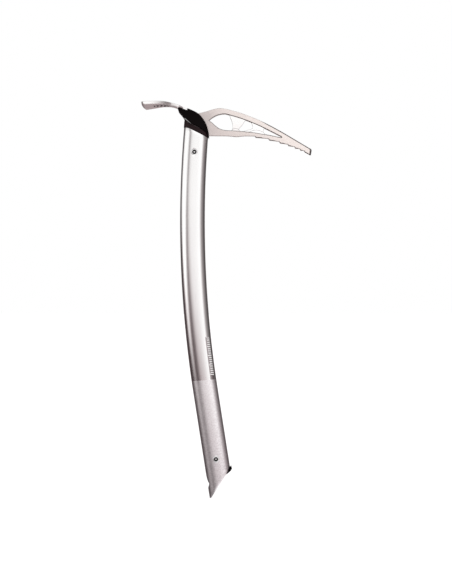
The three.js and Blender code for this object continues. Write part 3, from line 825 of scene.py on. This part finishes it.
def pick_material():
    """Bead-blasted alloy, with a painted highlight that brightens it towards the tip and upwards, painted
    shade near the cover, and painted shade on its chamfers and its blunt end.
    """
    n = Nodes(bpy.data.materials.new("blasted_alloy"))
    where = n.parts(n.place())
    raised = n.math("MULTIPLY", n.math("SUBTRACT", where["Z"], 420.0), 1.2)
    # Painted highlight: the face gets brighter towards the tip of the pick and upwards.
    rub_and_sheen = n.spread(n.math("ADD", where["X"], raised), 0.0, 60.0)
    # Painted shade: the face is darker at the rear, near the cover.
    out_of_rear_shade = n.spread(where["X"], -22.0, -3.0)
    grain = n.noise(n.place((4, 4, 4)), 1.0, 2.0, 0.6)
    cloud = n.noise(n.place((0.06, 0.06, 0.06)), 1.0, 3.0)
    scuff = n.noise(n.place((0.25, 0.25, 2.5), 0.5), 1.0, 3.0, 0.6)
    rear = n.mix(n.spread(cloud, 0.3, 0.7), (0.63, 0.575, 0.555, 1), (0.70, 0.635, 0.615, 1))
    middle = n.mix(n.spread(cloud, 0.3, 0.7), (0.75, 0.675, 0.645, 1), (0.82, 0.740, 0.710, 1))
    bright = n.mix(n.spread(scuff, 0.35, 0.7), (0.97, 0.885, 0.84, 1), (1.0, 0.935, 0.895, 1))
    face = n.mix(rub_and_sheen, n.mix(out_of_rear_shade, rear, middle), bright)
    # Painted shade: the chamfers, which face neither side square on, and the blunt end past a slanting line
    # near the tip are coloured darker.
    square_on = n.math("ABSOLUTE", n.facing()["Y"])
    chamfer = n.math("MULTIPLY", n.spread(square_on, 0.15, 0.25), n.spread(square_on, 0.93, 0.97, 1.0, 0.0))
    slant = n.math("SUBTRACT", where["X"], n.math("MULTIPLY", where["Z"], 0.17))
    blunt = n.spread(slant, 27.4, 27.9)  # past a slanting line near the tip
    painted_shading = n.mix(blunt, (0.36, 0.325, 0.315, 1), (0.21, 0.19, 0.185, 1))
    n.link(n.mix(n.math("MAXIMUM", chamfer, blunt), face, painted_shading), n.shader.inputs["Base Color"])
    n.shader.inputs["Metallic"].default_value = 1.0
    n.link(n.spread(scuff, 0.35, 0.75, 0.42, 0.32), n.shader.inputs["Roughness"])
    n.bump(grain, 0.02, 0.45)
    return n.owner


def web_material():
    """The struts and humps, milled, with a painted highlight that grows higher up and towards the front, and
    painted shade on their edges.
    """
    n = Nodes(bpy.data.materials.new("milled_alloy"))
    where = n.parts(n.place())
    # Painted highlight: the faces are paler higher up, and palest towards the front.
    high = n.spread(where["Z"], 424.0, 434.0)
    front = n.spread(where["X"], 18.0, 26.0)
    milled = n.noise(n.place((6.0, 6.0, 0.4), 0.35), 1.0, 3.0, 0.5)
    low = n.mix(n.spread(milled, 0.3, 0.7), (0.90, 0.87, 0.86, 1), (0.94, 0.91, 0.90, 1))
    top = n.mix(n.spread(milled, 0.3, 0.7), (0.94, 0.93, 0.92, 1), (0.98, 0.97, 0.96, 1))
    face = n.mix(front, n.mix(high, low, top), (0.99, 0.99, 0.985, 1))
    # Painted shade: the edges, which face neither side square on, are coloured darker.
    square_on = n.spread(n.math("ABSOLUTE", n.facing()["Y"]), 0.93, 0.97)
    n.link(n.mix(square_on, (0.66, 0.63, 0.62, 1), face), n.shader.inputs["Base Color"])
    n.shader.inputs["Metallic"].default_value = 1.0
    n.link(n.spread(milled, 0.3, 0.7, 0.18, 0.26), n.shader.inputs["Roughness"])
    n.bump(milled, 0.004, 0.2)
    return n.owner


def chevrons(n, x, off_middle, under):
    """Where the chevrons are: a row of bent bars on the underside, across its middle."""
    pitch, first, last, half_width = 4.2, -84.0, -67.2, 8.5
    slant = n.math("ADD", x, n.math("MULTIPLY", off_middle, 0.3))
    step = n.math("DIVIDE", n.math("SUBTRACT", slant, first), pitch)
    mark = n.math("LESS_THAN", n.math("FRACT", step), 0.55)
    for test in (n.math("GREATER_THAN", x, first), n.math("LESS_THAN", x, last),
                 n.math("LESS_THAN", off_middle, half_width), under):
        mark = n.math("MULTIPLY", mark, test)
    return mark


def adze_material():
    """Satin forged alloy with plain etched chevrons, darker and rougher on top. Painted shade darkens its
    underside, its throat and its ground edge.
    """
    n = Nodes(bpy.data.materials.new("forged_alloy"))
    where = n.parts(n.place())
    x = where["X"]
    facing_up = n.facing()["Z"]
    under = n.math("LESS_THAN", facing_up, -0.6)
    top = n.math("GREATER_THAN", facing_up, 0.6)
    mark = chevrons(n, x, n.math("ABSOLUTE", where["Y"]), under)
    grain = n.noise(n.place((3, 3, 3)), 1.0, 3.0, 0.6)
    cloud = n.noise(n.place((0.08, 0.08, 0.08)), 1.0, 3.0)
    rub_and_sheen = n.noise(n.place((0.4, 3.0, 0.4)), 1.0, 3.0, 0.6)
    metal = n.mix(n.spread(cloud, 0.3, 0.7), (0.86, 0.84, 0.83, 1), (0.92, 0.90, 0.89, 1))
    # Painted shade: the faces turned down are darker.
    metal = n.mix(under, metal, (0.76, 0.695, 0.68, 1))
    metal = n.mix(top, metal, (0.62, 0.60, 0.59, 1))
    # Painted shade: the throat is darker.
    throat = n.math("MULTIPLY", n.spread(x, -76.0, -70.0), n.spread(x, -66.0, -54.0, 1.0, 0.0))
    metal = n.mix(throat, metal, (0.60, 0.57, 0.56, 1))
    # Painted shade: the ground edge is dark.
    ground = n.spread(x, -95.4, -94.6, 1.0, 0.0)
    metal = n.mix(ground, metal, (0.34, 0.32, 0.31, 1))
    n.link(n.mix(mark, metal, (0.03, 0.02, 0.02, 1)), n.shader.inputs["Base Color"])
    n.link(n.math("SUBTRACT", 1.0, mark), n.shader.inputs["Metallic"])
    rough = n.math("ADD", n.spread(rub_and_sheen, 0.3, 0.7, 0.20, 0.27), n.math("MULTIPLY", top, 0.14))
    rough = n.math("MAXIMUM", rough, n.math("MULTIPLY", mark, 0.8))
    n.link(rough, n.shader.inputs["Roughness"])
    n.bump(grain, 0.015, 0.3)
    return n.owner


def steel_material():
    """Plated steel, with painted shade in the rivets' grooves, darkest in the one near the foot."""
    n = Nodes(bpy.data.materials.new("rivet_steel"))
    turned_marks = n.noise(n.place((3, 3, 3)), 1.0, 3.0)
    where = n.parts(n.place())
    outer = n.spread(n.math("ABSOLUTE", where["Y"]), 9.6, 10.15)
    plated = n.mix(turned_marks, grey(0.78), grey(0.88))
    # Painted shade: the grooves inside the flange are near black, darkest in the rivet near the foot.
    groove = n.mix(n.spread(where["Z"], 200.0, 201.0), (0.04, 0.028, 0.028, 1), (0.20, 0.17, 0.17, 1))
    n.link(n.mix(outer, groove, plated), n.shader.inputs["Base Color"])
    n.shader.inputs["Metallic"].default_value = 1.0
    n.link(n.spread(turned_marks, 0.3, 0.7, 0.22, 0.36), n.shader.inputs["Roughness"])
    n.bump(turned_marks, 0.02, 0.3)
    return n.owner


def nylon_material(name, value, rough=0.42):
    """Moulded plastic with a fine grain."""
    n = Nodes(bpy.data.materials.new(name))
    grain = n.new("ShaderNodeTexVoronoi")
    grain.inputs["Scale"].default_value = 1.0
    n.link(n.place((2.4, 2.4, 2.4)), grain.inputs["Vector"])
    cloud = n.noise(n.place((0.15, 0.15, 0.15)), 1.0, 3.0)
    warm = (value * 1.5, value * 0.75, value * 0.85)
    dark, light = (tuple(c * k for c in warm) + (1,) for k in (0.8, 1.25))
    n.link(n.mix(n.spread(cloud, 0.3, 0.7), dark, light), n.shader.inputs["Base Color"])
    n.link(n.spread(cloud, 0.3, 0.7, rough - 0.04, rough + 0.08), n.shader.inputs["Roughness"])
    n.bump(grain.outputs["Distance"], 0.03, 0.3)
    return n.owner


def lip_material():
    """The same plastic, with a painted highlight: pale at the rear of the seam on the side at -Y, near black
    elsewhere, and a little lighter towards the front.
    """
    n = Nodes(bpy.data.materials.new("nylon_with_painted_highlight"))
    where = n.parts(n.place())
    near_side = n.math("LESS_THAN", where["Y"], 0.0)
    # Painted highlight: pale at the rear of the seam, on the side at -Y only.
    rear = n.math("MULTIPLY", n.spread(where["X"], -43.5, -40.5, 1.0, 0.0), near_side)
    front = n.spread(where["X"], -40.0, -34.0)
    scuff = n.noise(n.place((1.5, 1.5, 1.5)), 1.0, 3.0, 0.6)
    # A fainter painted highlight towards the front.
    painted_shading = n.mix(front, (0.010, 0.005, 0.006, 1), (0.070, 0.052, 0.055, 1))
    pale = n.mix(n.spread(scuff, 0.3, 0.7), grey(0.30), grey(0.45))
    n.link(n.mix(rear, painted_shading, pale), n.shader.inputs["Base Color"])
    n.link(n.spread(scuff, 0.3, 0.7, 0.30, 0.42), n.shader.inputs["Roughness"])
    n.bump(scuff, 0.01, 0.2)
    return n.owner


# ---- the pieces, in place ----
def keep(piece, material, nodes):
    """Gives a piece its material, hides the CAD pieces that it stands for, and hangs it under the root body.
    """
    piece.data.materials.clear()
    piece.data.materials.append(material)
    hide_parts(*nodes)
    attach(piece, "root")


SHAFT_LOOK = shaft_material()
PICK_LOOK = pick_material()
WEB_LOOK = web_material()
ADZE_LOOK = adze_material()
STEEL_LOOK = steel_material()
COVER_LOOK = nylon_material("black_nylon", 0.0016, 0.5)
# Painted light: the collar is the same black nylon as the cover, coloured lighter to stand in for the light
# that it catches.
COLLAR_LOOK = nylon_material("black_nylon_painted_lighter", 0.012, 0.38)
LIP_HIGHLIGHT_LOOK = lip_material()
INNER_LOOK = nylon_material("grey_nylon", 0.08)
for look, level in ((COVER_LOOK, 0.06), (COLLAR_LOOK, 0.10)):
    look.node_tree.nodes["Principled BSDF"].inputs["Specular IOR Level"].default_value = level

keep(make_shaft(), SHAFT_LOOK, ["shaft_tube"])
pick_plate, pick_webs = make_pick()
keep(pick_plate, PICK_LOOK, ["pick"])
for web in pick_webs:
    keep(web, WEB_LOOK, ["pick"])
keep(make_adze(), ADZE_LOOK, ["adze"])
cover_left, cover_right = make_covers()
keep(cover_left, COVER_LOOK, ["palm_cover_left"])
keep(cover_right, COVER_LOOK, ["palm_cover_right"])
keep(make_collar(), COLLAR_LOOK, ["head_collar"])
for bead in make_seam_bead():
    keep(bead, LIP_HIGHLIGHT_LOOK, ["head_collar"])
for rivet, rivet_z in RIVETS.items():
    keep(make_rivet(rivet, rivet_z), STEEL_LOOK, [rivet + "_tube"])
keep(make_plug(), COVER_LOOK, ["spike_plug"])
for node, look in {
    "tang_packer_left": INNER_LOOK, "tang_packer_right": INNER_LOOK, "head_rivet_core": STEEL_LOOK,
    "plug_rivet_core": STEEL_LOOK, "adze_rivet_rear": STEEL_LOOK, "adze_rivet_front": STEEL_LOOK,
}.items():
    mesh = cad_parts[node].data
    mesh.materials.clear()
    mesh.materials.append(look)


# ---- the studio ----
WORLD_STRENGTH = 1.17
# Rings of light: how much pinker the dim parts are, and the levels by degrees round from -Y towards +X.
RINGS = {
    "deep": (0.22, [
        (-180, 0.30), (-160, 0.20), (-140, 0.05), (-112, 0.05), (-88, 0.05), (-70, 0.10), (-58, 0.13),
        (-48, 0.11), (-36, 0.08), (-26, 0.08), (-18, 0.13), (-10, 0.28), (0, 0.42), (12, 0.52), (25, 0.66),
        (40, 0.68), (52, 0.50), (66, 0.36), (90, 0.24), (112, 0.14), (140, 0.10), (160, 0.20), (180, 0.30),
    ]),
    "low": (0.22, [
        (-180, 0.30), (-160, 0.20), (-140, 0.05), (-112, 0.05), (-90, 0.07), (-78, 0.36), (-70, 0.78),
        (-58, 0.92), (-48, 0.72), (-41, 0.30), (-35, 0.12), (-26, 0.08), (-18, 0.13), (-10, 0.26), (0, 0.38),
        (12, 0.47), (25, 0.60), (40, 0.62), (52, 0.45), (66, 0.32), (90, 0.20), (112, 0.10), (140, 0.08),
        (160, 0.20), (180, 0.30),
    ]),
    "level": (0.15, [
        (-180, 0.42), (-166, 0.28), (-152, 0.06), (-118, 0.05), (-102, 0.08), (-90, 0.24), (-78, 0.85),
        (-70, 1.28), (-53, 1.30), (-44, 1.05), (-37, 0.42), (-28, 0.19), (-20, 0.38), (-11, 0.70), (-4, 0.86),
        (4, 0.92), (14, 0.95), (40, 1.02), (47, 0.78), (54, 0.50), (66, 0.29), (88, 0.16), (112, 0.07),
        (150, 0.08), (165, 0.30), (180, 0.42),
    ]),
    "high": (0.06, [
        (-180, 0.70), (-166, 0.48), (-152, 0.09), (-118, 0.11), (-103, 0.25), (-94, 0.70), (-86, 1.00),
        (-45, 1.02), (-38, 0.92), (-32, 0.44), (-25, 0.37), (-18, 0.74), (-11, 0.90), (0, 0.95), (12, 0.94),
        (26, 1.01), (40, 1.05), (47, 0.80), (54, 0.50), (66, 0.29), (90, 0.16), (112, 0.07), (150, 0.08),
        (165, 0.50), (180, 0.70),
    ]),
    "broad": (0.08, [
        (-180, 0.70), (-160, 0.50), (-140, 0.10), (-112, 0.08), (-92, 0.16), (-80, 0.30), (-50, 0.34),
        (-36, 0.20), (-24, 0.45), (-12, 1.15), (0, 1.45), (25, 1.40), (40, 1.30), (52, 1.05), (70, 0.90),
        (100, 0.70), (140, 0.45), (160, 0.60), (180, 0.70),
    ]),
}
# Between these degrees above level each ring takes over from the ones below it.
TAKES_OVER = {"low": (-11.5, -4.5), "level": (-5, 0.5), "high": (-0.5, 6)}
BROAD_BY_HEIGHT = [(-23, 1.0), (-13, 0.0), (10, 0.0), (24, 0.4)]  # how much of the light is the broad ring's
LEVEL_BY_HEIGHT = [
    (-90, 0.25), (-56, 0.25), (-38, 0.9), (-18, 1.0), (26, 1.0), (42, 0.68), (58, 0.42), (90, 0.42),
]

FLOOR_HALF, FLOOR_DROP = 12000, 0.4
CAMERA_X, CAMERA_HEIGHT, CAMERA_DISTANCE = -0.86, 236.9, 1450.0
SENSOR, SEEN_HEIGHT = 36.0, 673.4  # the second is what the picture's height covers at the axe


def light_ramp(n, value, stops, pink=0.0):
    """Light by position along a ramp. The dim parts can be a little pinker than the bright ones."""
    node = n.new("ShaderNodeValToRGB")
    while len(node.color_ramp.elements) < len(stops):
        node.color_ramp.elements.new(0.5)
    for element, (position, level) in zip(node.color_ramp.elements, stops):
        dim = max(1 - level, 0) * pink
        element.position = position
        element.color = (level * (1 + dim), level * (1 - 0.4 * dim), level * (1 - 0.25 * dim), 1)
    n.link(value, node.inputs["Fac"])
    return node.outputs["Color"]


def light_ring(n, turn, name):
    """The light by the turn round z, which is 0.5 towards -Y."""
    pink, stops = RINGS[name]
    return light_ramp(n, turn, [(0.5 + degrees / 360, level) for degrees, level in stops], pink)


def up(degrees):
    """Where a direction this far above level is on a ramp by height."""
    return 0.5 + degrees / 180


def make_world():
    """A soft white studio, as levels of light by direction: two broad lights in front, and dim sides."""
    world = bpy.data.worlds.new("studio")
    bpy.context.scene.world = world
    n = Nodes(world)
    n.tree.nodes.clear()
    x, y, z = n.parts(n.new("ShaderNodeTexCoord").outputs["Generated"])
    azimuth = n.math("ARCTAN2", x, n.math("MULTIPLY", y, -1.0))
    turn = n.math("ADD", n.math("DIVIDE", azimuth, 2 * math.pi), 0.5)
    height = n.math("ADD", n.math("DIVIDE", n.math("ARCSINE", z), math.pi), 0.5)
    whole = light_ring(n, turn, "deep")
    for name, (start, end) in TAKES_OVER.items():
        factor = n.spread(height, up(start), up(end), kind="SMOOTHSTEP")
        whole = n.mix(factor, whole, light_ring(n, turn, name))
    factor = light_ramp(n, height, [(up(degrees), part) for degrees, part in BROAD_BY_HEIGHT])
    whole = n.mix(factor, whole, light_ring(n, turn, "broad"))
    overall = light_ramp(n, height, [(up(degrees), level) for degrees, level in LEVEL_BY_HEIGHT])
    light = n.new("ShaderNodeBackground")
    light.inputs["Strength"].default_value = WORLD_STRENGTH
    n.link(n.mix(1.0, whole, overall, "MULTIPLY"), light.inputs["Color"])
    backdrop = n.new("ShaderNodeBackground")
    backdrop.inputs["Color"].default_value = (1, 1, 1, 1)
    seen = n.new("ShaderNodeMixShader")
    n.link(n.new("ShaderNodeLightPath").outputs["Is Camera Ray"], seen.inputs[0])
    n.link(light.outputs[0], seen.inputs[1])
    n.link(backdrop.outputs[0], seen.inputs[2])
    n.link(seen.outputs[0], n.new("ShaderNodeOutputWorld").inputs["Surface"])


def make_floor():
    """A pale sheet just under the spike. It glows a little, and shiny parts don't show it."""
    corners = [(-1, -1), (1, -1), (1, 1), (-1, 1)]
    floor = mesh_object("floor", [(x * FLOOR_HALF, y * FLOOR_HALF, 0) for x, y in corners], [[0, 1, 2, 3]])
    floor.location.z = -FLOOR_DROP * MM
    n = Nodes(bpy.data.materials.new("pale_floor"))
    n.shader.inputs["Base Color"].default_value = grey(0.92)
    n.shader.inputs["Roughness"].default_value = 0.9
    n.shader.inputs["Emission Color"].default_value = (1, 1, 1, 1)
    n.shader.inputs["Emission Strength"].default_value = 0.75
    floor.data.materials.append(n.owner)
    floor.visible_glossy = False


def make_camera():
    """A level camera in front of the pick's flat side."""
    data = bpy.data.cameras.new("camera")
    camera = add_object("camera", data)
    data.sensor_width = SENSOR
    data.lens = SENSOR * CAMERA_DISTANCE / SEEN_HEIGHT
    data.clip_end = 100
    camera.location = (CAMERA_X * MM, -CAMERA_DISTANCE * MM, CAMERA_HEIGHT * MM)
    camera.rotation_euler = (math.radians(90), 0, 0)
    bpy.context.scene.camera = camera


make_world()
make_floor()
make_camera()
bpy.context.scene.view_settings.view_transform = "Standard"
